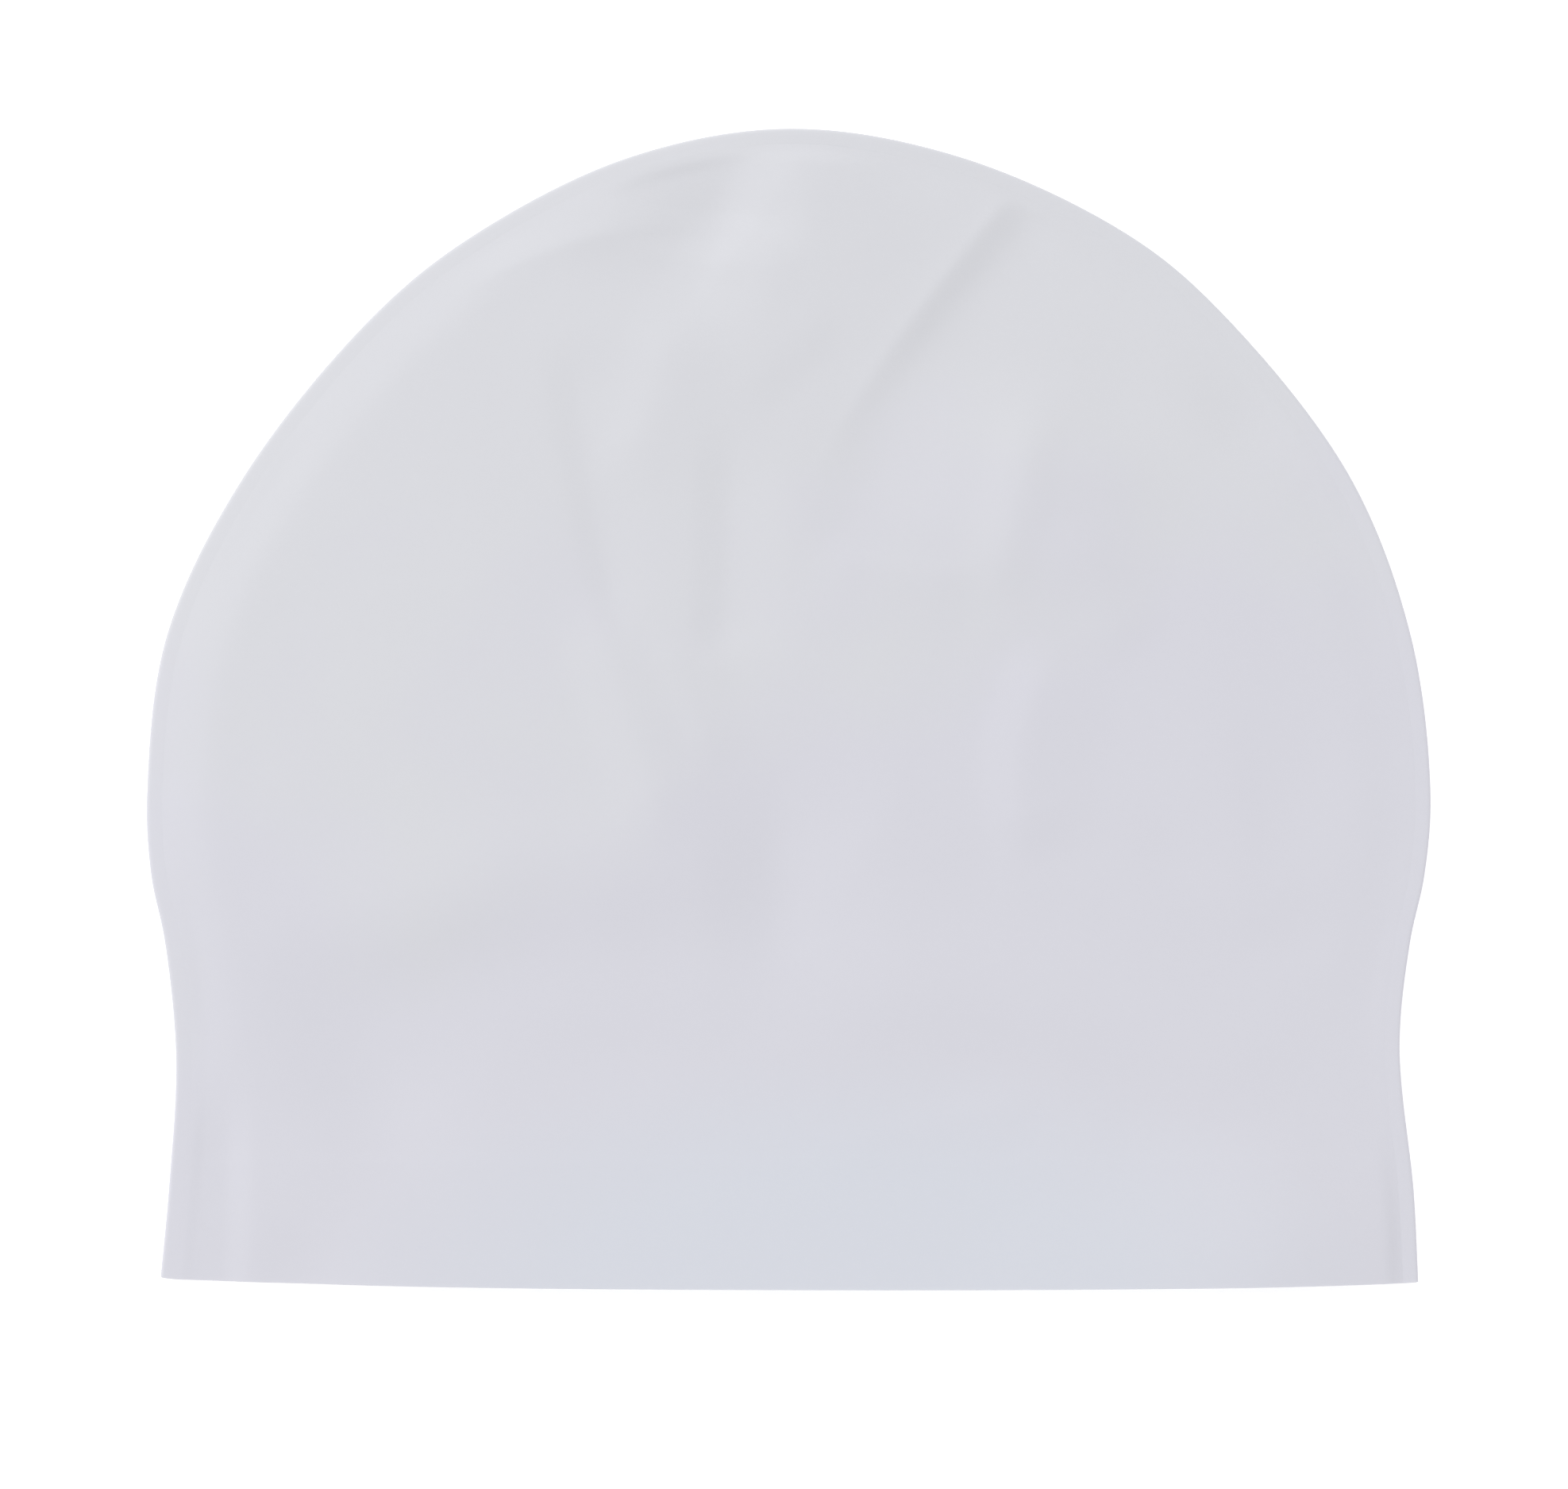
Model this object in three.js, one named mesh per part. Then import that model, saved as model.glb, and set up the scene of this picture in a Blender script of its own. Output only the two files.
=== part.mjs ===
// Swim cap of moulded silicone, lying flat on one side.
// +X runs across the cap, +Y towards the crown, +Z up. The cap rests on z = 0.
import * as THREE from 'three';
import { mergeVertices } from 'three/addons/utils/BufferGeometryUtils.js';

// Overall sizes, in millimetres
const CAP_WIDTH = 220;
const CAP_LENGTH = 198.6;
const WALL = 1.0;

// Edge where the wall turns over from the upper side to the lower side
const TURN_GAP = 1.7;
const TURN_RADIUS = WALL + TURN_GAP;
const TURN_SQUARENESS = 0.4;

// Sloping border just inside the edge, high on the left, low on the right and lower at the skirt
const BORDER_WIDTH = 10.2;
const BORDER_SOFTNESS = 1;
const LEFT_RISE = 2;
const RIGHT_RISE = 0.6;
const SKIRT_SHARE = 0.65;

// Line that ends the border on the right
const LINE_INSET = 9.2;
const LINE_SOFTNESS = 1.5;
const LINE_RISE = 0.4;

// Where the border changes between its two sides and at the skirt, as shares of the cap: start and length
const SIDE_CHANGE = { start: -0.25, length: 0.8 };
const SKIRT_CHANGE = { start: 0.15, length: 0.25 };

// Gentle puff of the field inside the border
const PUFF_REACH = 66;
const PUFF_RISE = 2;

// Rim of the head opening, bowed out between its two corners
const RIM_BOW = 1.3;
const RIM_BOW_POWER = 2.5;

// Folds and dents: their typical half width and height, and how they die out at the edge
const FOLD_WIDTH = 4;
const FOLD_HEIGHT = 1;
const DENT_WIDTH = 10;
const DENT_HEIGHT = 1;
const EDGE_FADE = 5;

// Roundness of sharp folds, and the form of a crease, all in half widths
const TENT_ROUNDING = 0.4;
const VEE_ROUNDING = 0.2;
const CREASE_LIP = 0.25;
const CREASE_LIP_REACH = 0.67;
const CREASE_RECOVERY = 5;

// Least height left between the upper and the lower wall
const LEAST_GAP = 0.4;

// Middle of the field, from which the rings of the mesh spread, as a share of the length
const HUB_UP = 0.47;

// Mesh density, and how near two corners lie that are one
const EDGE_STEPS = 84;
const RIM_STEPS = 28;
const TURN_STEPS = 6;
const UPPER_RINGS = 15;
const LOWER_RINGS = 3;
const RING_POWER = 1.35;
const CROWN_CROWDING = 0.35;
const FOLD_STEPS = 20;
const CURVE_STEPS = 1200;
const WELD = 1e-4;

// Edge of the flat cap, from the left corner of the rim over the crown to the right corner.
// across: share of half the width, from the middle line. up: share of the length, from the rim.
const EDGE_STATIONS = [
  { across: -0.979, up: 0.009 },
  { across: -0.966, up: 0.086 },
  { across: -0.955, up: 0.197 },
  { across: -0.972, up: 0.297 },
  { across: -0.994, up: 0.357 },
  { across: -1, up: 0.428 },
  { across: -0.969, up: 0.563 },
  { across: -0.848, up: 0.701 },
  { across: -0.648, up: 0.838 },
  { across: -0.494, up: 0.907 },
  { across: -0.25, up: 0.975 },
  { across: 0.003, up: 1 },
  { across: 0.27, up: 0.975 },
  { across: 0.533, up: 0.907 },
  { across: 0.68, up: 0.838 },
  { across: 0.873, up: 0.701 },
  { across: 0.969, up: 0.563 },
  { across: 1, up: 0.428 },
  { across: 0.991, up: 0.357 },
  { across: 0.968, up: 0.297 },
  { across: 0.952, up: 0.207 },
  { across: 0.974, up: 0.082 },
  { across: 0.981, up: 0.005 },
];

// Folds of the upper side. Each runs from one place by another to a third, given as [across, up].
// left, right: half widths on its two sides, as shares of FOLD_WIDTH, for a line from the crown to the rim.
// rise: share of FOLD_HEIGHT, negative for a groove. head, tail: shares of the run that fade in and out.
// taper: share of the width that is lost along the run.
const FOLDS = [
  { name: 'crease', kind: 'crease', from: [0.37, 0.96], by: [0.125, 0.805], to: [0, 0.665],
    left: 0.9, right: 1.1, rise: 1.1, head: 0.12, tail: 0.7, taper: 0.3 },
  { name: 'crown arch', kind: 'vee', from: [0.12, 1], by: [-0.04, 0.88], to: [-0.205, 0.77],
    left: 2.2, right: 5, rise: 0.8, head: 0.12, tail: 0.4, taper: 0 },
  { name: 'crown groove', kind: 'vee', from: [-0.09, 1], by: [-0.095, 0.955], to: [-0.115, 0.89],
    left: 3.5, right: 3, rise: -1.8, head: 0.35, tail: 0.4, taper: 0 },
  { name: 'crown bulge', kind: 'tent', from: [-0.465, 0.875], by: [-0.315, 0.925], to: [-0.08, 0.915],
    left: 1.2, right: 1.2, rise: 0.4, head: 0.3, tail: 0.2, taper: 0 },
  { name: 'long groove', kind: 'vee', from: [-0.34, 0.83], by: [-0.31, 0.675], to: [-0.245, 0.53],
    left: 1.5, right: 3, rise: -0.35, head: 0.2, tail: 0.3, taper: 0.4 },
  { name: 'long ridge', kind: 'vee', from: [-0.315, 0.605], by: [-0.24, 0.495], to: [-0.18, 0.375],
    left: 1.8, right: 1.5, rise: 0.25, head: 0.3, tail: 0.25, taper: 0 },
  { name: 'short groove', kind: 'vee', from: [-0.095, 0.77], by: [-0.085, 0.645], to: [-0.105, 0.53],
    left: 1.5, right: 2.2, rise: -0.5, head: 0.35, tail: 0.2, taper: 0 },
  { name: 'facet crest', kind: 'vee', from: [0.41, 0.82], by: [0.385, 0.675], to: [0.27, 0.54],
    left: 5.5, right: 6.5, rise: 1.2, head: 0.4, tail: 0.4, taper: 0 },
  { name: 'facet edge', kind: 'vee', from: [0.39, 0.785], by: [0.37, 0.69], to: [0.305, 0.585],
    left: 1.8, right: 1.5, rise: 0.2, head: 0.3, tail: 0.2, taper: 0 },
  { name: 'side strip', kind: 'vee', from: [0.44, 0.56], by: [0.31, 0.475], to: [0.39, 0.36],
    left: 1.8, right: 2.8, rise: 0.4, head: 0.25, tail: 0.25, taper: 0 },
  { name: 'centre groove', kind: 'vee', from: [-0.025, 0.495], by: [-0.01, 0.375], to: [-0.01, 0.195],
    left: 3.2, right: 4.5, rise: -0.5, head: 0.45, tail: 0.4, taper: 0 },
  { name: 'left waist', kind: 'step', from: [0.01, 0.34], by: [-0.425, 0.33], to: [-0.935, 0.23],
    left: 2.2, right: 2.2, rise: 0.4, head: 0.3, tail: 0.3, taper: 0 },
  { name: 'left waist end', kind: 'step', from: [-0.34, 0.4], by: [-0.475, 0.32], to: [-0.66, 0.265],
    left: 2, right: 2, rise: 0.15, head: 0.3, tail: 0.3, taper: 0 },
  { name: 'right waist', kind: 'step', from: [0.775, 0.125], by: [0.44, 0.245], to: [0.02, 0.23],
    left: 2, right: 2, rise: 0.38, head: 0.3, tail: 0.3, taper: 0 },
  { name: 'low slant', kind: 'step', from: [-0.86, 0.3], by: [-0.76, 0.19], to: [-0.585, 0.105],
    left: 2, right: 2, rise: 0.25, head: 0.3, tail: 0.3, taper: 0 },
  { name: 'corner groove', kind: 'vee', from: [-0.905, 0.14], by: [-0.905, 0.075], to: [-0.915, -0.015],
    left: 1, right: 1.2, rise: -0.6, head: 0.3, tail: 0.05, taper: 0 },
];

// Dents and swells of the upper side, centred at a place given as [across, up].
// long, wide: half widths as shares of DENT_WIDTH, the long one turned up from +X by turn, in degrees.
// rise: share of DENT_HEIGHT, negative for a dent.
const DENTS = [
  { name: 'waist', at: [0, 0.245], long: 26, wide: 2, turn: 0, rise: -0.2 },
  { name: 'right corner', at: [0.965, -0.01], long: 1.6, wide: 1.4, turn: 0, rise: -1.1 },
  { name: 'crown hollow', at: [-0.205, 0.85], long: 1.3, wide: 0.7, turn: -15, rise: -0.7 },
  { name: 'low left', at: [-0.44, 0.225], long: 0.8, wide: 1.4, turn: 10, rise: -0.35 },
  { name: 'left corner', at: [-0.76, 0.005], long: 1, wide: 0.9, turn: 0, rise: -1.1 },
  { name: 'right cell', at: [0.8, 0.43], long: 0.8, wide: 1.4, turn: 0, rise: -0.35 },
  { name: 'right field', at: [0.59, 0.59], long: 2, wide: 1.4, turn: -20, rise: 0.25 },
  { name: 'low middle', at: [-0.29, 0.2], long: 2, wide: 0.8, turn: 0, rise: -0.4 },
  { name: 'middle', at: [-0.025, 0.33], long: 0.9, wide: 1.1, turn: 0, rise: -0.45 },
];

const silicone = new THREE.MeshStandardMaterial({
  name: 'silicone', color: 0xd9d9e1, roughness: 0.5, metalness: 0,
});

// A place given as shares, in millimetres from the middle of the cap's box
function place([across, up]) {
  return new THREE.Vector2(across * CAP_WIDTH / 2, (up - 0.5) * CAP_LENGTH);
}

function ease(t) {
  const c = THREE.MathUtils.clamp(t, 0, 1);
  return c * c * (3 - 2 * c);
}

// Rise of the border at a distance inside the outline
function borderRise(x, y, inside) {
  const across = x / (CAP_WIDTH / 2);
  const up = y / CAP_LENGTH + 0.5;
  const right = ease((across - SIDE_CHANGE.start) / SIDE_CHANGE.length);
  const skirt = 1 - ease((up - SKIRT_CHANGE.start) / SKIRT_CHANGE.length);
  const dome = THREE.MathUtils.lerp(LEFT_RISE, RIGHT_RISE, right);
  const full = THREE.MathUtils.lerp(dome, dome * SKIRT_SHARE, skirt);
  const short = Math.log1p(Math.exp((BORDER_WIDTH - inside) / BORDER_SOFTNESS)) * BORDER_SOFTNESS;
  const line = LINE_RISE / (1 + Math.exp((LINE_INSET - inside) / LINE_SOFTNESS));
  return full * (1 - short / BORDER_WIDTH) + line * right * (1 - skirt);
}

// Outer edge of the cap in plan, and the line on which the wall's turn is centred
function makeEdge() {
  const corners = EDGE_STATIONS.map(({ across, up }) => place([across, up]));
  const points = corners.map((p) => new THREE.Vector3(p.x, p.y, 0));
  const curve = new THREE.CatmullRomCurve3(points, false, 'centripetal');
  curve.arcLengthDivisions = CURVE_STEPS;
  const edge = [];
  for (let i = 0; i <= EDGE_STEPS; i += 1) {
    const turn = 2 * Math.PI * i / EDGE_STEPS;
    const share = (turn + CROWN_CROWDING * Math.sin(turn)) / (2 * Math.PI);
    const at = curve.getPointAt(share);
    const along = curve.getTangentAt(share);
    const outward = new THREE.Vector2(-along.y, along.x).normalize();
    const centre = new THREE.Vector2(at.x, at.y).addScaledVector(outward, -TURN_RADIUS);
    edge.push({ centre, outward, border: borderRise(centre.x, centre.y, TURN_RADIUS) });
  }
  return edge;
}

// Rim of the opening from its right corner to its left corner, without the corners themselves
function makeRim(edge) {
  const right = edge[edge.length - 1].centre;
  const left = edge[0].centre;
  const rim = [];
  for (let i = 1; i < RIM_STEPS; i += 1) {
    const share = i / RIM_STEPS;
    const bow = RIM_BOW * (1 - Math.abs(2 * share - 1) ** RIM_BOW_POWER);
    const point = right.clone().lerp(left, share);
    rim.push(point.setY(point.y - bow));
  }
  return rim;
}

function distanceToEdge(edge, x, y) {
  let least = Infinity;
  for (let i = 0; i < edge.length - 1; i += 1) {
    const a = edge[i].centre;
    const b = edge[i + 1].centre;
    const dx = b.x - a.x;
    const dy = b.y - a.y;
    const along = ((x - a.x) * dx + (y - a.y) * dy) / (dx * dx + dy * dy);
    const t = THREE.MathUtils.clamp(along, 0, 1);
    least = Math.min(least, Math.hypot(x - a.x - t * dx, y - a.y - t * dy));
  }
  return least;
}

function foldLine({ from, by, to }) {
  const curve = new THREE.QuadraticBezierCurve(place(from), place(by), place(to));
  return curve.getPoints(FOLD_STEPS);
}

// Distance to a fold's line, positive on its right, and the share of the run it lies at
function besideLine(line, x, y) {
  let least = Infinity;
  let side = 1;
  let run = 0;
  for (let i = 0; i < line.length - 1; i += 1) {
    const a = line[i];
    const dx = line[i + 1].x - a.x;
    const dy = line[i + 1].y - a.y;
    const along = ((x - a.x) * dx + (y - a.y) * dy) / (dx * dx + dy * dy);
    const t = THREE.MathUtils.clamp(along, 0, 1);
    const away = Math.hypot(x - a.x - t * dx, y - a.y - t * dy);
    if (away < least) {
      least = away;
      side = Math.sign((y - a.y) * dx - (x - a.x) * dy);
      run = (i + t) / (line.length - 1);
    }
  }
  return { beside: least * side, run };
}

// Cross sections of the folds at s half widths from their line, each 1 high or deep
const FORMS = {
  ridge: (s) => Math.exp(-s * s),
  tent: (s) => Math.exp(TENT_ROUNDING - Math.hypot(s, TENT_ROUNDING)),
  // Straight flanks that meet in a crest
  vee: (s) => {
    const flanks = (Math.hypot(s - 1, VEE_ROUNDING) + Math.hypot(s + 1, VEE_ROUNDING)) / 2;
    return (flanks - Math.hypot(s, VEE_ROUNDING)) / (Math.hypot(1, VEE_ROUNDING) - VEE_ROUNDING);
  },
  // A fall from the left to the right
  step: (s) => -s * Math.exp(0.5 - 0.5 * s * s),
  // A lip on the line and a sharp fall on its right that recovers slowly
  crease: (s) => {
    const lip = CREASE_LIP * Math.exp(-Math.abs(s) / CREASE_LIP_REACH);
    return s > 0 ? lip - (1 - Math.exp(-s * s)) * Math.exp(-((s / CREASE_RECOVERY) ** 2)) : lip;
  },
};

function foldRise(fold, x, y) {
  const { beside, run } = besideLine(fold.line, x, y);
  const fade = ease(run / fold.head) * ease((1 - run) / fold.tail);
  const half = FOLD_WIDTH * (beside < 0 ? fold.left : fold.right) * (1 - fold.taper * run);
  return FOLD_HEIGHT * fold.rise * fade * FORMS[fold.kind](beside / half);
}

function dentRise(dent, x, y) {
  const centre = place(dent.at);
  const turn = THREE.MathUtils.degToRad(dent.turn);
  const off = new THREE.Vector2(x, y).sub(centre).rotateAround(new THREE.Vector2(), -turn);
  const s = off.x / (DENT_WIDTH * dent.long);
  const t = off.y / (DENT_WIDTH * dent.wide);
  return DENT_HEIGHT * dent.rise * Math.exp(-s * s - t * t);
}

// Height of the upper side's outer face over a place in plan
function makeHeight(edge) {
  const folds = FOLDS.map((fold) => ({ ...fold, line: foldLine(fold) }));
  return (x, y) => {
    const inside = distanceToEdge(edge, x, y);
    const left = 1 - Math.min(inside / PUFF_REACH, 1);
    let relief = PUFF_RISE * (1 - left * left);
    for (const fold of folds) relief += foldRise(fold, x, y);
    for (const dent of DENTS) relief += dentRise(dent, x, y);
    const border = borderRise(x, y, inside + TURN_RADIUS);
    const height = 2 * TURN_RADIUS + border + relief * ease(inside / EDGE_FADE);
    return Math.max(height, 2 * WALL + LEAST_GAP);
  };
}

// Closed mesh built up from quads and fans, each given with its face turned out
class Shell {
  constructor() {
    this.corners = [];
  }

  triangle(a, b, c) {
    this.corners.push(...a.toArray(), ...b.toArray(), ...c.toArray());
  }

  // Band between two rows of points, facing along (next point - this point) x (upper row - lower row)
  band(lower, upper, flip = false) {
    for (let i = 0; i < lower.length - 1; i += 1) {
      const quad = [lower[i], lower[i + 1], upper[i + 1], upper[i]];
      if (flip) quad.reverse();
      this.triangle(quad[0], quad[1], quad[2]);
      this.triangle(quad[0], quad[2], quad[3]);
    }
  }

  // Disc from a closed loop of points down through rings to a hub
  disc(loop, rings, hub, lift, flip = false) {
    const middle = new THREE.Vector3(hub.x, hub.y, lift(hub.x, hub.y));
    let outer = loop;
    for (const share of rings) {
      const inner = loop.map((p) => {
        const x = hub.x + (p.x - hub.x) * share;
        const y = hub.y + (p.y - hub.y) * share;
        return new THREE.Vector3(x, y, lift(x, y));
      });
      this.band([...outer, outer[0]], [...inner, inner[0]], flip);
      outer = inner;
    }
    for (let i = 0; i < outer.length; i += 1) {
      const next = outer[(i + 1) % outer.length];
      if (flip) this.triangle(next, outer[i], middle);
      else this.triangle(outer[i], next, middle);
    }
  }

  geometry() {
    const soup = new THREE.BufferGeometry();
    soup.setAttribute('position', new THREE.Float32BufferAttribute(this.corners, 3));
    const welded = mergeVertices(soup, WELD);
    welded.computeVertexNormals();
    return welded;
  }
}

function ringShares(count) {
  return Array.from({ length: count - 1 }, (_, i) => 1 - ((i + 1) / count) ** RING_POWER);
}

// Rows of the edge turn of one face, from its upper disc to its lower disc
function makeTurn(edge, radius) {
  const turn = [];
  for (let k = 0; k <= TURN_STEPS; k += 1) {
    const angle = Math.PI * (0.5 - k / TURN_STEPS);
    const out = Math.max(Math.cos(angle), 0) ** TURN_SQUARENESS;
    turn.push(edge.map(({ centre, outward, border }) => {
      const plan = centre.clone().addScaledVector(outward, radius * out);
      const lift = angle > 0 ? border * (1 - out) : 0;
      return new THREE.Vector3(plan.x, plan.y, TURN_RADIUS + radius * Math.sin(angle) + lift);
    }));
  }
  return turn;
}

// One face of the wall: its upper disc, its lower disc and the turn between them.
// Returns the loop that bounds it at the opening.
function addFace(shell, edge, rim, radius, upperLift, lowerLift, inward) {
  const hub = place([0, HUB_UP]);
  const turn = makeTurn(edge, radius);
  for (let k = 0; k < TURN_STEPS; k += 1) shell.band(turn[k], turn[k + 1], inward);

  const upperRim = rim.map((p) => new THREE.Vector3(p.x, p.y, upperLift(p.x, p.y)));
  const lowerRim = rim.map((p) => new THREE.Vector3(p.x, p.y, lowerLift(p.x, p.y)));
  // The edge runs clockwise seen from above, so the upper disc is turned over
  shell.disc([...turn[0], ...upperRim], ringShares(UPPER_RINGS), hub, upperLift, !inward);
  shell.disc([...turn[TURN_STEPS], ...lowerRim], ringShares(LOWER_RINGS), hub, lowerLift, inward);

  const rightEnd = turn.map((row) => row[row.length - 1]);
  const leftEnd = turn.map((row) => row[0]);
  return [...leftEnd, ...lowerRim.reverse(), ...rightEnd.reverse(), ...upperRim];
}

function makeCap() {
  const edge = makeEdge();
  const rim = makeRim(edge);
  const height = makeHeight(edge);
  const shell = new Shell();
  const outer = addFace(shell, edge, rim, TURN_RADIUS, height, () => 0, false);
  const inner = addFace(shell, edge, rim, TURN_GAP, (x, y) => height(x, y) - WALL, () => WALL, true);
  shell.band([...outer, outer[0]], [...inner, inner[0]]);
  const cap = new THREE.Mesh(shell.geometry(), silicone);
  cap.name = 'cap_shell';
  return cap;
}

const part = new THREE.Group();
part.add(makeCap());

export default part;
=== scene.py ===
import math

import bmesh
import bpy
import numpy as np
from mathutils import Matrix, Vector, noise


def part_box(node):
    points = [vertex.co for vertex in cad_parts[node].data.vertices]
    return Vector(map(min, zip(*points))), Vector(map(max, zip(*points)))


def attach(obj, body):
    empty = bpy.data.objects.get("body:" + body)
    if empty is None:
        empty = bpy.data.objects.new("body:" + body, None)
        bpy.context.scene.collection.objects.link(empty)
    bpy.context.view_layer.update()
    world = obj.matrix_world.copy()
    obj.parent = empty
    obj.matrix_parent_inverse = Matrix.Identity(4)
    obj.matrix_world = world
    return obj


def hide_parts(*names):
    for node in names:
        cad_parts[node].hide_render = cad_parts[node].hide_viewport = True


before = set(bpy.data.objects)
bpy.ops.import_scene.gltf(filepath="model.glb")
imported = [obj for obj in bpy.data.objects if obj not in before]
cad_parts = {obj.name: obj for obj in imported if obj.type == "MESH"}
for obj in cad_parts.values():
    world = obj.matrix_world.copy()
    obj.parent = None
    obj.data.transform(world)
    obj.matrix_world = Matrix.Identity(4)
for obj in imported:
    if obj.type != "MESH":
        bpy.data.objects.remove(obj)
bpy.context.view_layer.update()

MM = 0.001
CAP_LOW, CAP_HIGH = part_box("cap_shell")
HALF_WIDTH = (CAP_HIGH.x - CAP_LOW.x) / 2 / MM
LENGTH = (CAP_HIGH.y - CAP_LOW.y) / MM
MIDDLE = np.array([(CAP_HIGH.x + CAP_LOW.x) / 2 / MM, (CAP_HIGH.y + CAP_LOW.y) / 2 / MM])

# Wall, edge turn, border, puff, rim and folds, in millimetres, apart from the powers and the share
WALL = 1.0
TURN_GAP = 1.7
TURN_RADIUS = WALL + TURN_GAP
UPPER_TURN_POWER = 0.2
LOWER_TURN_POWER = 0.7
BORDER_WIDTH = 10.2
BORDER_SOFTNESS = 1.0
LEFT_RISE = 1.45
RIGHT_RISE = -0.3
SKIRT_SHARE = 0.3
LINE_INSET = 9.2
LINE_SOFTNESS = 1.5
LINE_RISE = 0.3
PUFF_REACH = 66
PUFF_RISE = 2.0
RIM_BOW = 1.3
RIM_BOW_POWER = 2.5
FOLD_WIDTH = 4
DENT_WIDTH = 10
FOLD_FADE = 3
LEAST_GAP = 0.4

# Where the border changes across the cap and above its skirt, as shares of the cap: start, length
SIDE_CHANGE = (-0.25, 0.8)
SKIRT_CHANGE = (0.15, 0.25)

# Roundness of sharp folds and reach of a crease, in half widths, and the height of its lip as a share
TENT_ROUNDING = 0.4
VEE_ROUNDING = 0.2
CREASE_LIP_REACH = 0.67
CREASE_RECOVERY = 5
CREASE_LIP = 0.25

# Finer things that only show close up, in millimetres: the lip, a faint line above the rim, and waves
LIP_BULGE = 0.15
HEM_HEIGHT = 22.5
HEM_RISE = 0.06
HEM_SOFTNESS = 1.2
WAVES = [
    # size in mm, height in mm, seed
    (34.0, 0.22, 3.0),
    (13.0, 0.07, 11.0),
    (5.0, 0.012, 23.0),
]

# Mesh density, the share of the edge that each side of it takes, and the rings of the flat lower side
RIM_CELLS = 250
SIDE_CELLS = 200
INNER_SIDE_CELLS = 60
TURN_CELLS = 24
INNER_TURN_CELLS = 8
LIP_CELLS = 4
SIDE_SHARE = 0.33
CURVE_STEPS = 60
FOLD_STEPS = 24
COARSE_EDGE_CELLS = 400
LOWER_RINGS = (0.96, 0.7, 0.35)

# Points closer than this, in millimetres, become one, and an edge that turns by more degrees is sharp
WELD_DISTANCE = 0.0005
SHARP_ANGLE = 50

# Edge of the flat cap, left corner of the rim to right corner:
# across (share of half the width), up (share of length)
EDGE_STATIONS = [
    (-0.979, 0.009), (-0.966, 0.086), (-0.955, 0.197), (-0.972, 0.297), (-0.994, 0.357), (-1.0, 0.428),
    (-0.969, 0.563), (-0.848, 0.701), (-0.648, 0.838), (-0.494, 0.907), (-0.25, 0.975), (0.003, 1.0),
    (0.27, 0.975), (0.533, 0.907), (0.68, 0.838), (0.873, 0.701), (0.969, 0.563), (1.0, 0.428),
    (0.991, 0.357), (0.968, 0.297), (0.952, 0.207), (0.974, 0.082), (0.981, 0.005),
]

# Folds of the upper side, each along a curve from start by bend to end, given as (across, up).
# left, right: half widths on its two sides in shares of FOLD_WIDTH, for a line from the crown to the rim.
# rise: mm, negative for a groove. head, tail: shares of the run that fade in and out.
# taper: the share by which it narrows along its run.
FOLDS = [
    # kind, start, bend, end, left, right, rise, head, tail, taper
    ("crease", (0.37, 0.96), (0.125, 0.805), (0.0, 0.665), 0.9, 1.1, 1.1, 0.12, 0.8, 0.3),
    ("vee", (0.08, 1.015), (-0.06, 0.905), (-0.25, 0.755), 2.2, 6.5, 0.65, 0.15, 0.4, 0.0),
    ("vee", (-0.095, 0.99), (-0.1, 0.945), (-0.115, 0.88), 4.5, 3.5, -2.4, 0.65, 0.4, 0.0),
    ("vee", (-0.12, 0.925), (-0.13, 0.875), (-0.195, 0.805), 5.0, 3.0, -1.1, 0.35, 0.5, 0.0),
    ("tent", (-0.54, 0.845), (-0.34, 0.925), (-0.095, 0.915), 0.5, 0.8, 0.35, 0.3, 0.3, 0.0),
    ("vee", (-0.34, 0.83), (-0.31, 0.675), (-0.245, 0.53), 1.5, 3.0, -0.45, 0.2, 0.3, 0.4),
    ("vee", (-0.315, 0.605), (-0.24, 0.495), (-0.18, 0.375), 2.0, 3.0, 0.6, 0.3, 0.25, 0.0),
    ("vee", (-0.095, 0.77), (-0.085, 0.645), (-0.105, 0.53), 1.5, 2.5, -0.6, 0.35, 0.2, 0.0),
    ("vee", (0.41, 0.81), (0.405, 0.675), (0.275, 0.55), 6.0, 6.5, 1.8, 0.4, 0.4, 0.0),
    ("vee", (0.39, 0.785), (0.37, 0.69), (0.305, 0.585), 1.8, 1.5, 0.3, 0.3, 0.2, 0.0),
    ("vee", (0.44, 0.56), (0.31, 0.475), (0.39, 0.36), 1.8, 3.2, 0.7, 0.25, 0.25, 0.0),
    ("vee", (-0.025, 0.495), (-0.01, 0.375), (-0.01, 0.195), 3.5, 4.5, -0.9, 0.45, 0.4, 0.0),
    ("step", (0.01, 0.34), (-0.425, 0.33), (-0.935, 0.23), 2.2, 2.2, 0.5, 0.3, 0.3, 0.0),
    ("step", (-0.34, 0.4), (-0.475, 0.32), (-0.66, 0.265), 2.0, 2.0, 0.15, 0.3, 0.3, 0.0),
    ("step", (0.775, 0.125), (0.44, 0.245), (0.02, 0.23), 2.0, 2.0, 0.4, 0.3, 0.3, 0.0),
    ("step", (-0.86, 0.3), (-0.76, 0.19), (-0.585, 0.105), 2.0, 2.0, 0.28, 0.3, 0.3, 0.0),
    ("vee", (-0.88, 0.2), (-0.87, 0.085), (-0.885, -0.025), 2.2, 1.1, -0.6, 0.4, 0.05, 0.0),
]

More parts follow.
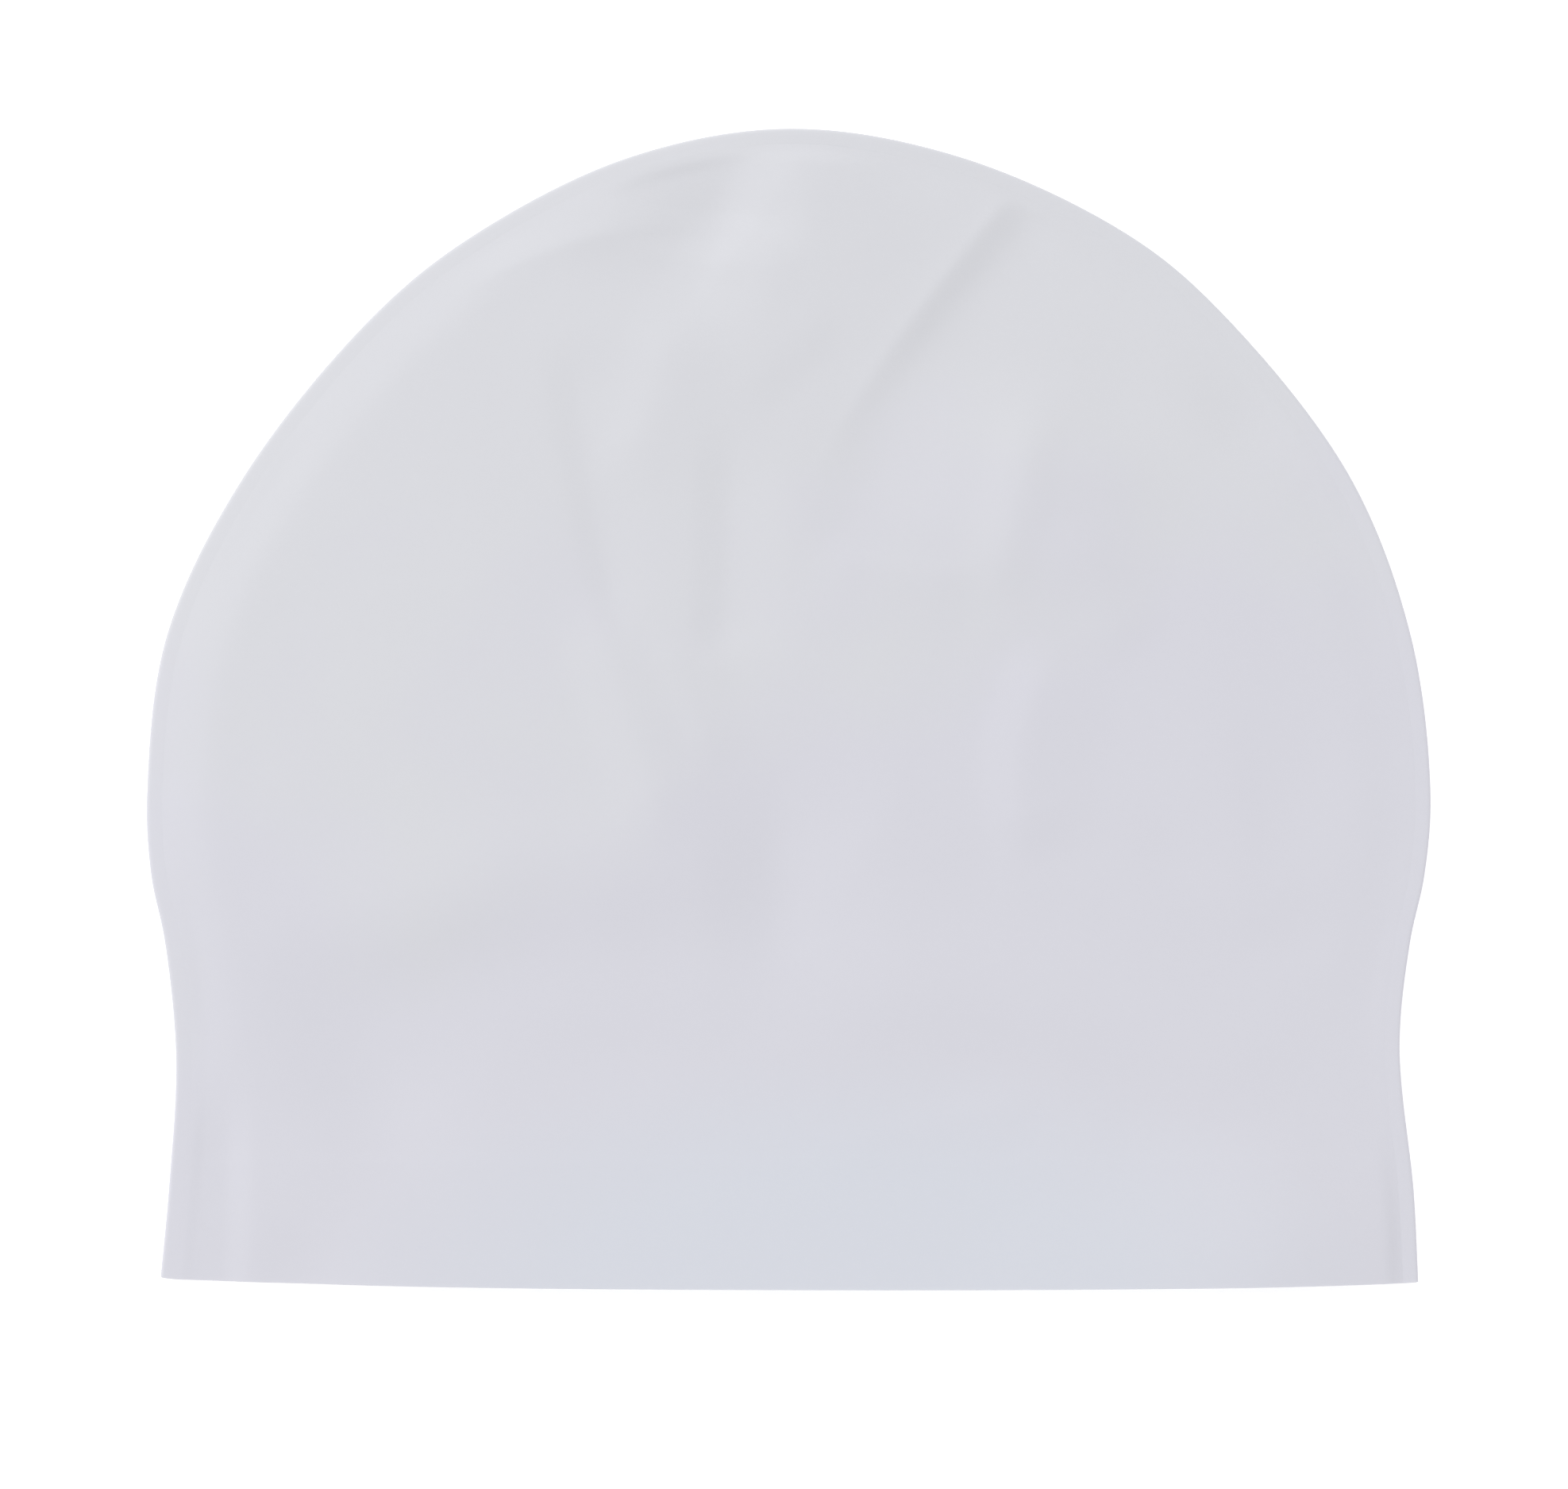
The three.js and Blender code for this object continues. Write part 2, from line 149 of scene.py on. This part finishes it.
# Finer folds, in the same columns
FINE_FOLDS = [
    ("ridge", (-0.18, 0.845), (-0.165, 0.77), (-0.3, 0.675), 1.2, 1.8, 0.35, 0.3, 0.3, 0.0),
    ("step", (0.1, 0.84), (0.02, 0.805), (-0.085, 0.745), 0.9, 0.9, 0.12, 0.3, 0.3, 0.0),
    ("vee", (-0.215, 0.58), (-0.14, 0.51), (-0.11, 0.44), 1.0, 1.8, 0.3, 0.3, 0.3, 0.0),
    ("step", (-0.065, 0.545), (-0.155, 0.55), (-0.25, 0.545), 0.6, 0.6, -0.05, 0.3, 0.3, 0.0),
    ("vee", (0.305, 0.605), (0.17, 0.615), (0.015, 0.635), 1.0, 3.0, 0.35, 0.3, 0.3, 0.0),
    ("vee", (0.17, 0.75), (0.13, 0.69), (0.035, 0.615), 1.5, 3.0, -0.2, 0.3, 0.3, 0.0),
    ("ridge", (0.305, 0.375), (0.39, 0.33), (0.53, 0.34), 1.2, 1.2, 0.1, 0.3, 0.3, 0.0),
    ("step", (0.415, 0.745), (0.59, 0.72), (0.815, 0.675), 2.0, 2.0, 0.12, 0.3, 0.3, 0.0),
    ("vee", (0.43, 0.67), (0.485, 0.6), (0.555, 0.545), 2.5, 2.0, 0.25, 0.3, 0.3, 0.0),
    ("vee", (0.715, 0.51), (0.74, 0.43), (0.75, 0.33), 1.2, 2.2, -0.12, 0.3, 0.3, 0.0),
    ("vee", (0.195, 0.455), (0.13, 0.385), (0.045, 0.325), 2.5, 1.8, 0.15, 0.3, 0.3, 0.0),
    ("vee", (0.415, 0.175), (0.255, 0.135), (0.01, 0.12), 1.0, 1.5, 0.1, 0.3, 0.3, 0.0),
    ("ridge", (-0.735, 0.595), (-0.575, 0.6), (-0.42, 0.605), 0.5, 0.5, 0.03, 0.3, 0.3, 0.0),
]

# Dents and swells, centred at (across, up): half widths in shares of DENT_WIDTH, turn in degrees,
# rise in mm, negative for a dent
DENTS = [
    # at, long, wide, turn, rise
    ((0.0, 0.245), 26.0, 2.0, 0, -0.2),
    ((0.76, 0.03), 2.0, 1.5, 0, 1.6),
    ((-0.24, 0.875), 1.3, 0.7, -15, -0.4),
    ((-0.65, 0.155), 1.4, 1.2, 0, -0.9),
    ((-0.76, 0.005), 1.0, 0.9, 0, -0.8),
    ((0.8, 0.43), 0.8, 1.4, 0, -0.35),
    ((0.59, 0.59), 2.0, 1.4, -20, 0.25),
    ((-0.29, 0.2), 2.0, 0.8, 0, -0.4),
    ((-0.025, 0.33), 0.9, 1.1, 0, -0.45),
]

# Finer dents and swells, in the same columns
FINE_DENTS = [
    ((0.02, 0.965), 0.9, 0.6, 0, 0.2),
    ((0.765, 0.3), 0.8, 0.5, 0, -0.2),
    ((0.605, 0.375), 0.8, 0.5, -30, -0.25),
    ((0.7, 0.745), 0.9, 0.5, -40, -0.5),
    ((0.505, 0.755), 1.2, 0.9, -20, -0.4),
]

# Colours of the silicone, linear; the lilac one is also the darker end of the painted shade
SILICONE_PALE = (0.627, 0.632, 0.667, 1.0)
SILICONE_LILAC_AND_SHADE = (0.619, 0.618, 0.674, 1.0)
SILICONE_BLUE = (0.612, 0.630, 0.689, 1.0)

# Where its colour drifts, in metres: from pale to lilac by a cloud, which is its own uneven tone, and by a
# slope, which is painted shade that darkens it towards the rim and the right side, and to blue at the rim
PAINTED_SHADE_SLOPE = (2.0, -6.0, 0.0)
LILAC_AND_SHADE_RANGE = (0.28, 0.62)
BLUE_MIDDLE = (0.01, -0.1, 0.0)
BLUE_STRETCH = (0.45, 1.0, 1.0)
BLUE_REACH = (0.042, 0.022)

# Noises in the silicone: scale, detail and roughness
COLOUR_CLOUD = (22.0, 2.0, 0.5)
GLOSS_MOTTLE = (60.0, 3.0, 0.6)
GRAIN = (1600.0, 2.0, 0.6)

# Its refraction, roughness, strength and height of the grain, and the light it carries, in metres
SILICONE_IOR = 1.42
GLOSS_RANGE = (0.46, 0.58)
GRAIN_STRENGTH = 0.35
GRAIN_HEIGHT = 0.00004
CARRIED_LIGHT = 0.12
CARRIED_COLOURS = (1.0, 0.95, 0.9)
CARRIED_REACH = 0.0012

# The floor, in metres, a little below the cap so that the two faces aren't in one plane
FLOOR_SIZE = 8
FLOOR_DROP = 0.0001
FLOOR_COLOUR = (0.8, 0.8, 0.8, 1.0)
FLOOR_ROUGHNESS = 0.9
FLOOR_SHINE = 0.1
FLOOR_GLOW = 0.45

# The photograph's frame and the cap in it, in its own pixels
PHOTO_SIZE = (1975, 1876)
PHOTO_CAP_MIDDLE = (993.5, 892.0)
PHOTO_CAP_WIDTH = 1613

# The cap's real width and that of one pixel at its edge, and the camera's lens and sensor, in millimetres
CAP_WIDTH = 220
PIXEL_MM = CAP_WIDTH / PHOTO_CAP_WIDTH
CAMERA_LENS = 135
CAMERA_SENSOR = 36

# The even white light of the room, and a soft light from the upper left, its angles in degrees
WHITE = (1.0, 1.0, 1.0, 1.0)
SKY_STRENGTH = 0.88
KEY_AZIMUTH = 147
KEY_HEIGHT = 40
KEY_SPREAD = 45
KEY_STRENGTH = 1.08


def place(share):
    """A place given as (across, up) in mm, in the model's frame."""
    return MIDDLE + np.array([share[0] * HALF_WIDTH, (share[1] - 0.5) * LENGTH])


def ease(t):
    """Smooth step from 0 to 1."""
    t = np.clip(t, 0, 1)
    return t * t * (3 - 2 * t)


def smooth_curve(points):
    """Centripetal Catmull-Rom curve through the points, as a dense line."""
    points = [2 * points[0] - points[1], *points, 2 * points[-1] - points[-2]]
    line = []
    for a, b, c, d in zip(points, points[1:], points[2:], points[3:]):
        t1 = math.sqrt(np.linalg.norm(b - a))
        t2 = t1 + math.sqrt(np.linalg.norm(c - b))
        t3 = t2 + math.sqrt(np.linalg.norm(d - c))
        t = np.linspace(t1, t2, CURVE_STEPS, endpoint=False)[:, None]
        ab = (t1 - t) / t1 * a + t / t1 * b
        bc = (t2 - t) / (t2 - t1) * b + (t - t1) / (t2 - t1) * c
        cd = (t3 - t) / (t3 - t2) * c + (t - t2) / (t3 - t2) * d
        abc = (t2 - t) / t2 * ab + t / t2 * bc
        bcd = (t3 - t) / (t3 - t1) * bc + (t - t1) / (t3 - t1) * cd
        line.append((t2 - t) / (t2 - t1) * abc + (t - t1) / (t2 - t1) * bcd)
    return np.vstack([*line, points[-2][None]])


def spaced(line, values, cells, start=0.0, end=1.0):
    """Values that go with a line's points, taken at equal steps along part of the line."""
    steps = np.linalg.norm(np.diff(line, axis=0), axis=1)
    run = np.concatenate([[0], np.cumsum(steps)]) / steps.sum()
    at = np.linspace(start, end, cells + 1)
    return np.stack([np.interp(at, run, values[:, k]) for k in range(2)], axis=1)


class Edge:
    """The cap's edge in plan: the line its turn is centred on, and the way out from it."""

    def __init__(self):
        outline = smooth_curve([place(s) for s in EDGE_STATIONS])
        along = np.gradient(outline, axis=0)
        out = np.stack([-along[:, 1], along[:, 0]], axis=1)
        self.outward = out / np.linalg.norm(out, axis=1)[:, None]
        self.centre = outline - TURN_RADIUS * self.outward
        self.coarse = spaced(self.centre, self.centre, COARSE_EDGE_CELLS)

    def side(self, cells, start, end):
        """(centre, outward) at equal steps along part of the edge."""
        centre = spaced(self.centre, self.centre, cells, start, end)
        out = spaced(self.centre, self.outward, cells, start, end)
        return centre, out / np.linalg.norm(out, axis=1)[:, None]

    def rim(self, cells):
        """The rim from its left corner to its right corner."""
        share = np.linspace(0, 1, cells + 1)[:, None]
        line = self.centre[0] * (1 - share) + self.centre[-1] * share
        line[:, 1] -= RIM_BOW * (1 - np.abs(2 * share[:, 0] - 1) ** RIM_BOW_POWER)
        return line


def beside(line, x, y):
    """Distance to a line and the share of its run. It is positive on the right of one drawn downwards."""
    least = np.full(x.shape, np.inf)
    signed = np.zeros_like(x)
    run = np.zeros_like(x)
    for i in range(len(line) - 1):
        ax, ay = line[i]
        dx, dy = line[i + 1] - line[i]
        t = np.clip(((x - ax) * dx + (y - ay) * dy) / (dx * dx + dy * dy), 0, 1)
        away = np.hypot(x - ax - t * dx, y - ay - t * dy)
        side = np.where((y - ay) * dx - (x - ax) * dy < 0, -1.0, 1.0)
        nearer = away < least
        least = np.where(nearer, away, least)
        signed = np.where(nearer, away * side, signed)
        run = np.where(nearer, (i + t) / (len(line) - 1), run)
    return signed, run


def vee(s):
    """Straight flanks that meet in a crest."""
    flanks = (np.hypot(s - 1, VEE_ROUNDING) + np.hypot(s + 1, VEE_ROUNDING)) / 2
    return (flanks - np.hypot(s, VEE_ROUNDING)) / (math.hypot(1, VEE_ROUNDING) - VEE_ROUNDING)


def crease(s):
    """A lip on the line and a sharp fall on its right that recovers slowly."""
    lip = CREASE_LIP * np.exp(-np.abs(s) / CREASE_LIP_REACH)
    return lip - np.where(s > 0, 1 - np.exp(-s * s), 0) * np.exp(-(s / CREASE_RECOVERY) ** 2)


# Cross sections of the folds at s half widths from their line, each about 1 high or deep
FORMS = {
    "ridge": lambda s: np.exp(-s * s),
    "tent": lambda s: np.exp(TENT_ROUNDING - np.hypot(s, TENT_ROUNDING)),
    "vee": vee,
    "step": lambda s: -s * np.exp(0.5 - 0.5 * s * s),
    "crease": crease,
}


def fold_rise(fold, x, y):
    """Rise of one fold, in mm."""
    kind, start, bend, end, left, right, rise, head, tail, taper = fold
    a, b, c = place(start), place(bend), place(end)
    t = np.linspace(0, 1, FOLD_STEPS + 1)[:, None]
    line = (1 - t) ** 2 * a + 2 * t * (1 - t) * b + t * t * c
    signed, run = beside(line, x, y)
    fade = ease(run / head) * ease((1 - run) / tail)
    s = signed / (FOLD_WIDTH * np.where(signed < 0, left, right) * (1 - taper * run))
    return rise * fade * FORMS[kind](s)


def dent_rise(dent, x, y):
    """Rise of one dent or swell, in mm."""
    at, long, wide, turn, rise = dent
    middle = place(at)
    c, s = math.cos(math.radians(turn)), math.sin(math.radians(turn))
    u = (x - middle[0]) * c + (y - middle[1]) * s
    v = (y - middle[1]) * c - (x - middle[0]) * s
    return rise * np.exp(-(u / (DENT_WIDTH * long)) ** 2 - (v / (DENT_WIDTH * wide)) ** 2)


def wave_rise(x, y):
    """Slight unevenness of thin silicone, in mm."""
    rise = np.zeros_like(x)
    for size, height, seed in WAVES:
        flat = [noise.noise(Vector((a / size, b / size, seed))) for a, b in zip(x.ravel(), y.ravel())]
        rise += height * np.array(flat).reshape(x.shape)
    return rise


def border_rise(x, y, inside):
    """Rise of the border, in mm: a slope all round, and on the right a faint line that ends it."""
    across = (x - MIDDLE[0]) / HALF_WIDTH
    up = (y - MIDDLE[1]) / LENGTH + 0.5
    right = ease((across - SIDE_CHANGE[0]) / SIDE_CHANGE[1])
    skirt = 1 - ease((up - SKIRT_CHANGE[0]) / SKIRT_CHANGE[1])
    full = (LEFT_RISE + (RIGHT_RISE - LEFT_RISE) * right) * (1 + (SKIRT_SHARE - 1) * skirt)
    short = np.logaddexp(0, (BORDER_WIDTH - inside) / BORDER_SOFTNESS) * BORDER_SOFTNESS
    line = LINE_RISE / (1 + np.exp((LINE_INSET - inside) / LINE_SOFTNESS))
    return full * (1 - short / BORDER_WIDTH) + line * right * (1 - skirt)


def upper_height(edge, x, y):
    """Height of the upper side's outer face, in mm."""
    signed, _ = beside(edge.coarse, x, y)
    inside = np.abs(signed)
    short = 1 - np.minimum(inside / PUFF_REACH, 1)
    puff = PUFF_RISE * (1 - short * short)
    relief = wave_rise(x, y)
    relief += sum(fold_rise(fold, x, y) for fold in FOLDS + FINE_FOLDS)
    relief += sum(dent_rise(dent, x, y) for dent in DENTS + FINE_DENTS)
    above_rim = y - (MIDDLE[1] - LENGTH / 2)
    relief += HEM_RISE * ease(0.5 + (HEM_HEIGHT - above_rim) / HEM_SOFTNESS)
    height = 2 * TURN_RADIUS + border_rise(x, y, inside + TURN_RADIUS) + puff
    height += relief * ease(inside / FOLD_FADE)
    return np.maximum(height, 2 * WALL + LEAST_GAP)


def coons(rim, top, left, right):
    """Grid of plan points filled in between four sides: rows run from the rim to the top."""
    u = np.linspace(0, 1, len(rim))[None, :, None]
    v = np.linspace(0, 1, len(left))[:, None, None]
    ruled = (1 - v) * rim[None] + v * top[None] + (1 - u) * left[:, None] + u * right[:, None]
    corners = ((1 - u) * (1 - v) * rim[0] + u * (1 - v) * rim[-1]
               + (1 - u) * v * top[0] + u * v * top[-1])
    return ruled - corners


class Build:
    """Vertices and faces of the shell, gathered from grids of points."""

    def __init__(self):
        self.points = []
        self.faces = []

    def grid(self, rows):
        """Four-sided faces between rows of points."""
        rows = np.asarray(rows, float)
        first = len(self.points)
        height, width = rows.shape[:2]
        self.points.extend(rows.reshape(-1, 3).tolist())
        for j in range(height - 1):
            for i in range(width - 1):
                a = first + j * width + i
                self.faces.append((a, a + 1, a + 1 + width, a + width))

    def disc(self, loop, z):
        """A flat disc at height z from a closed loop, in rings about its middle."""
        middle = loop.mean(axis=0)
        rings = [loop] + [middle + (loop - middle) * share for share in LOWER_RINGS]
        rows = [np.vstack([ring, ring[:1]]) for ring in rings]
        flat = [np.column_stack([row[:, 0], row[:, 1], np.full(len(row), z)]) for row in rows]
        self.grid(flat)
        first = len(self.points)
        self.points.extend(flat[-1][:-1].tolist() + [[middle[0], middle[1], z]])
        hub = len(self.points) - 1
        for i in range(first, hub):
            after = i + 1 if i + 1 < hub else first
            self.faces.append((i, after, hub))

    def mesh(self, name):
        """The closed mesh, its points joined, its faces turned outwards and its sharp edges marked."""
        made = bpy.data.meshes.new(name)
        made.from_pydata([(x * MM, y * MM, z * MM) for x, y, z in self.points], [], self.faces)
        bm = bmesh.new()
        bm.from_mesh(made)
        bmesh.ops.remove_doubles(bm, verts=bm.verts, dist=WELD_DISTANCE * MM)
        bmesh.ops.recalc_face_normals(bm, faces=bm.faces)
        if bm.calc_volume(signed=True) < 0:
            bmesh.ops.reverse_faces(bm, faces=bm.faces)
        for face in bm.faces:
            face.smooth = True
        for side in bm.edges:
            side.smooth = side.calc_face_angle(0) < math.radians(SHARP_ANGLE)
        bm.to_mesh(made)
        bm.free()
        return made


def add_face(build, edge, radius, side_cells, turn_cells, upper, lower_z):
    """One face of the wall: upper side, turn and lower side. Returns its loop at the opening."""
    left, left_out = edge.side(side_cells, 0, SIDE_SHARE)
    top, top_out = edge.side(RIM_CELLS, SIDE_SHARE, 1 - SIDE_SHARE)
    right, right_out = edge.side(side_cells, 1 - SIDE_SHARE, 1)
    rim = edge.rim(RIM_CELLS)
    plan = coons(rim, top, left, right[::-1])
    x, y = plan[..., 0], plan[..., 1]
    z = upper(x, y)

    centre = np.vstack([left, top[1:], right[1:]])
    out = np.vstack([left_out, top_out[1:], right_out[1:]])
    border = border_rise(centre[:, 0], centre[:, 1], np.full(len(centre), TURN_RADIUS))
    turn = []
    for angle in np.linspace(math.pi / 2, -math.pi / 2, turn_cells + 1):
        # A power of 1 makes a round turn, and less makes a squarer one
        power = UPPER_TURN_POWER if angle > 0 else LOWER_TURN_POWER
        bow = max(math.cos(angle), 0) ** power
        bend = math.copysign(abs(math.sin(angle)) ** power, angle)
        lift = border * (1 - bow) if angle > 0 else 0
        rise = TURN_RADIUS + radius * bend + lift + np.zeros(len(centre))
        turn.append(np.column_stack([centre + out * radius * bow, rise]))
    build.grid(turn)

    crest = turn[0][:, 2]
    z[:, 0] = crest[:side_cells + 1]
    z[-1] = crest[side_cells:-side_cells]
    z[:, -1] = crest[:-side_cells - 2:-1]
    build.grid(np.dstack([x, y, z]))
    build.disc(np.vstack([centre, rim[-2:0:-1]]), lower_z)

    lower_rim = np.column_stack([rim, np.full(len(rim), lower_z)])
    upper_rim = np.column_stack([rim, z[0]])
    left_end = np.array([row[0] for row in turn])
    right_end = np.array([row[-1] for row in turn])
    return {"left": left_end, "lower": lower_rim, "right": right_end[::-1], "upper": upper_rim[::-1]}


def add_lip(build, outer, inner):
    """The cut edge at the rim, rounded between the outer and the inner face."""
    for part in ("left", "lower", "right", "upper"):
        a, b = outer[part], inner[part]
        if len(a) != len(b):
            at = np.linspace(0, 1, len(a))
            b = np.column_stack([np.interp(at, np.linspace(0, 1, len(b)), b[:, k]) for k in range(3)])
        rows = []
        for share in np.linspace(0, 1, LIP_CELLS + 1):
            row = a * (1 - share) + b * share
            row[:, 1] -= LIP_BULGE * math.sin(math.pi * share)
            rows.append(row)
        build.grid(rows)


def make_shell():
    """The whole cap as one closed shell: outer face, inner face and the lip that joins them at the rim."""
    edge = Edge()
    build = Build()
    outer = add_face(build, edge, TURN_RADIUS, SIDE_CELLS, TURN_CELLS,
                     lambda x, y: upper_height(edge, x, y), 0.0)
    inner = add_face(build, edge, TURN_GAP, INNER_SIDE_CELLS, INNER_TURN_CELLS,
                     lambda x, y: upper_height(edge, x, y) - WALL, WALL)
    add_lip(build, outer, inner)
    shell = bpy.data.objects.new("silicone_shell", build.mesh("silicone_shell"))
    bpy.context.collection.objects.link(shell)
    return shell


def node(tree, kind, **values):
    """A new node, with its sockets or settings given by name."""
    made = tree.nodes.new(kind)
    for key, value in values.items():
        if key in made.inputs:
            made.inputs[key].default_value = value
        else:
            setattr(made, key, value)
    return made


def noise_value(tree, where, form):
    """Noise over the surface, from 0 to 1, with its scale, detail and roughness."""
    scale, detail, roughness = form
    made = node(tree, "ShaderNodeTexNoise", Scale=scale, Detail=detail, Roughness=roughness)
    tree.links.new(where, made.inputs["Vector"])
    return made.outputs["Fac"]


def vector_math(tree, operation, vector, other=None):
    """A node that works on a vector, and on a fixed second one where its operation takes two."""
    made = node(tree, "ShaderNodeVectorMath", operation=operation)
    tree.links.new(vector, made.inputs[0])
    if other:
        made.inputs[1].default_value = other
    return made


def ranged(tree, value, source, target=(0.0, 1.0)):
    """A value that runs over one range, fitted to another."""
    limits = {"From Min": source[0], "From Max": source[1], "To Min": target[0], "To Max": target[1]}
    made = node(tree, "ShaderNodeMapRange", **limits)
    tree.links.new(value, made.inputs["Value"])
    return made.outputs["Result"]


def silicone_colour(tree, where):
    """Pale grey that drifts to lilac in clouds and, as painted shade, towards the rim and the right side,
    and to blue round a place at the rim.
    """
    link = tree.links.new
    cloud = noise_value(tree, where, COLOUR_CLOUD)
    # The slope is painted shade: it darkens the silicone towards the rim and towards the right side
    slope = vector_math(tree, "DOT_PRODUCT", where, PAINTED_SHADE_SLOPE)
    drift = node(tree, "ShaderNodeMath", operation="ADD")
    link(cloud, drift.inputs[0])
    link(slope.outputs["Value"], drift.inputs[1])
    base = node(tree, "ShaderNodeMix", data_type="RGBA")
    base.inputs["A"].default_value = SILICONE_PALE
    base.inputs["B"].default_value = SILICONE_LILAC_AND_SHADE
    link(ranged(tree, drift.outputs["Value"], LILAC_AND_SHADE_RANGE), base.inputs["Factor"])

    offset = vector_math(tree, "SUBTRACT", where, BLUE_MIDDLE)
    stretched = vector_math(tree, "MULTIPLY", offset.outputs["Vector"], BLUE_STRETCH)
    away = vector_math(tree, "LENGTH", stretched.outputs["Vector"])
    colour = node(tree, "ShaderNodeMix", data_type="RGBA")
    colour.inputs["B"].default_value = SILICONE_BLUE
    link(base.outputs["Result"], colour.inputs["A"])
    link(ranged(tree, away.outputs["Value"], BLUE_REACH), colour.inputs["Factor"])
    return colour.outputs["Result"]


def silicone_material():
    """Satin silicone that carries a little light, with drifting colour and painted shade, mottled gloss
    and a fine grain.
    """
    material = bpy.data.materials.new("silicone")
    material.use_nodes = True
    tree = material.node_tree
    link = tree.links.new
    shader = tree.nodes["Principled BSDF"]
    shader.inputs["IOR"].default_value = SILICONE_IOR
    shader.inputs["Subsurface Weight"].default_value = CARRIED_LIGHT
    shader.inputs["Subsurface Radius"].default_value = CARRIED_COLOURS
    shader.inputs["Subsurface Scale"].default_value = CARRIED_REACH
    where = node(tree, "ShaderNodeTexCoord").outputs["Object"]
    link(silicone_colour(tree, where), shader.inputs["Base Color"])

    mottle = noise_value(tree, where, GLOSS_MOTTLE)
    link(ranged(tree, mottle, (0.0, 1.0), GLOSS_RANGE), shader.inputs["Roughness"])

    bump = node(tree, "ShaderNodeBump", Strength=GRAIN_STRENGTH, Distance=GRAIN_HEIGHT)
    link(noise_value(tree, where, GRAIN), bump.inputs["Height"])
    link(bump.outputs["Normal"], shader.inputs["Normal"])
    return material


def floor_material():
    """Plain pale floor with a slight glow."""
    material = bpy.data.materials.new("studio_floor")
    material.use_nodes = True
    shader = material.node_tree.nodes["Principled BSDF"]
    shader.inputs["Base Color"].default_value = FLOOR_COLOUR
    shader.inputs["Roughness"].default_value = FLOOR_ROUGHNESS
    shader.inputs["Specular IOR Level"].default_value = FLOOR_SHINE
    shader.inputs["Emission Color"].default_value = WHITE
    shader.inputs["Emission Strength"].default_value = FLOOR_GLOW
    return material


def make_floor():
    """A pale floor under the cap."""
    bpy.ops.mesh.primitive_plane_add(size=FLOOR_SIZE, location=(0, 0, -FLOOR_DROP))
    floor = bpy.context.object
    floor.name = "studio_floor"
    floor.data.materials.append(floor_material())


def make_light():
    """Even light from all round, and one soft lamp."""
    world = bpy.data.worlds.new("soft_room")
    world.use_nodes = True
    background = world.node_tree.nodes["Background"]
    background.inputs["Color"].default_value = WHITE
    background.inputs["Strength"].default_value = SKY_STRENGTH
    bpy.context.scene.world = world

    azimuth, height = math.radians(KEY_AZIMUTH), math.radians(KEY_HEIGHT)
    flat = math.cos(height)
    towards = Vector((math.cos(azimuth) * flat, math.sin(azimuth) * flat, math.sin(height)))
    key = bpy.data.lights.new("soft_key", "SUN")
    key.angle = math.radians(KEY_SPREAD)
    key.energy = KEY_STRENGTH
    lamp = bpy.data.objects.new("soft_key", key)
    lamp.location = towards
    lamp.rotation_mode = "QUATERNION"
    lamp.rotation_quaternion = towards.to_track_quat("Z", "Y")
    bpy.context.collection.objects.link(lamp)


def make_camera():
    """Straight above, framed as the photograph is."""
    data = bpy.data.cameras.new("camera")
    data.lens = CAMERA_LENS
    data.sensor_width = CAMERA_SENSOR
    width = PHOTO_SIZE[0] * PIXEL_MM
    above_edge = width * CAMERA_LENS / CAMERA_SENSOR
    x = MIDDLE[0] + (PHOTO_SIZE[0] / 2 - PHOTO_CAP_MIDDLE[0]) * PIXEL_MM
    y = MIDDLE[1] - (PHOTO_SIZE[1] / 2 - PHOTO_CAP_MIDDLE[1]) * PIXEL_MM
    camera = bpy.data.objects.new("camera", data)
    camera.location = (x * MM, y * MM, (above_edge + TURN_RADIUS) * MM)
    bpy.context.collection.objects.link(camera)
    bpy.context.scene.camera = camera


make_camera()
make_light()
make_floor()
shell = make_shell()
shell.data.materials.append(silicone_material())
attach(shell, "root")
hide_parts("cap_shell")
bpy.context.scene.view_settings.view_transform = "Standard"

bpy.context.view_layer.update()
